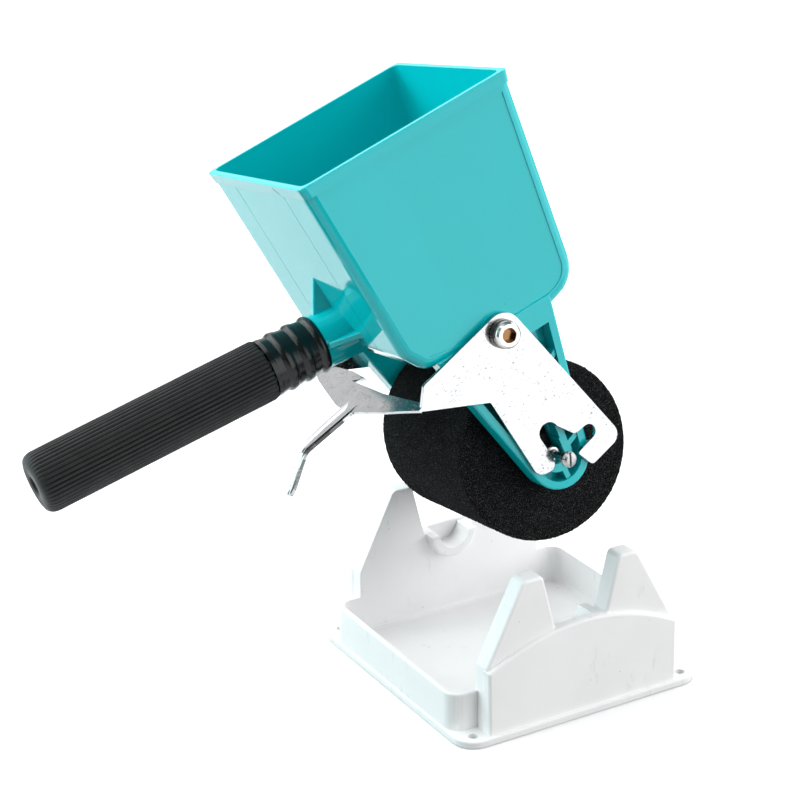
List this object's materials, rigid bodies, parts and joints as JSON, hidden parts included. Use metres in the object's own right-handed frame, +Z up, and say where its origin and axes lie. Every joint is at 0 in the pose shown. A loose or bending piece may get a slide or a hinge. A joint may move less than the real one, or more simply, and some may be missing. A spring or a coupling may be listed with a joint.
{
  "type": "glue_spreader",
  "caption": "Hand-held glue applicator: teal hopper with black grip, steel squeeze trigger and black sponge roller, held over its white plastic parking tray",
  "frame": {"origin": "centre of the tray's flat underside", "axes": "X from the handle side towards the front of the roller, Y along the tray's saddles from the screw-head side seen in the picture to the far side, Z up"},
  "size_m": [0.2654, 0.147, 0.2674],
  "materials": {
    "hopper_plastic": "gloss",
    "wiper_plastic": "gloss",
    "grip_rubber": "matte",
    "collar_rubber": "gloss",
    "sponge_foam": "matte",
    "roller_core_plastic": "matte",
    "meter_plastic": "satin",
    "bracket_steel": "satin",
    "hardware_steel": "satin",
    "bush_plastic": "satin",
    "tray_plastic": "satin"
  },
  "bodies": {
    "tray": {"tray": "tray_plastic"},
    "hopper": {"hopper_shell": "hopper_plastic", "wiper_rear": "wiper_plastic", "wiper_front": "wiper_plastic", "handle_core": "roller_core_plastic", "grip_collar": "collar_rubber", "grip_sleeve": "grip_rubber", "roller_axle": "hardware_steel", "axle_pin_near": "hardware_steel", "axle_pin_far": "hardware_steel", "pivot_bush_near": "bush_plastic", "pivot_bush_far": "bush_plastic", "pivot_screw_near": "hardware_steel", "pivot_screw_far": "hardware_steel", "spring_washer_near": "hardware_steel", "spring_washer_far": "hardware_steel"},
    "bracket": {"trigger_bracket": "bracket_steel"},
    "sponge_roller": {"sponge_sleeve": "sponge_foam", "roller_core": "roller_core_plastic", "roller_plug_near": "roller_core_plastic", "roller_plug_far": "roller_core_plastic"},
    "metering": {"metering_roller": "meter_plastic", "metering_core": "hardware_steel"}
  },
  "joints": [
    {"name": "lift_off", "type": "slide", "parent": "tray", "child": "hopper", "axis": [0, 0, 1], "range_m": [-0.012, 0.06]},
    {"name": "trigger_swing", "type": "hinge", "parent": "hopper", "child": "bracket", "pos_m": [-0.02442, 0.01473, 0.15745], "axis": [0.1075, 0.974, -0.1994], "range_deg": [0, 14.5]},
    {"name": "sponge_roller_spin", "type": "hinge", "parent": "hopper", "child": "sponge_roller", "pos_m": [-0.00399, 0.0018, 0.10528], "axis": [0.1075, 0.974, -0.1994], "continuous": true},
    {"name": "metering_roller_spin", "type": "hinge", "parent": "hopper", "child": "metering", "pos_m": [-0.02442, 0.01473, 0.15745], "axis": [0.1075, 0.974, -0.1994], "continuous": true}
  ]
}
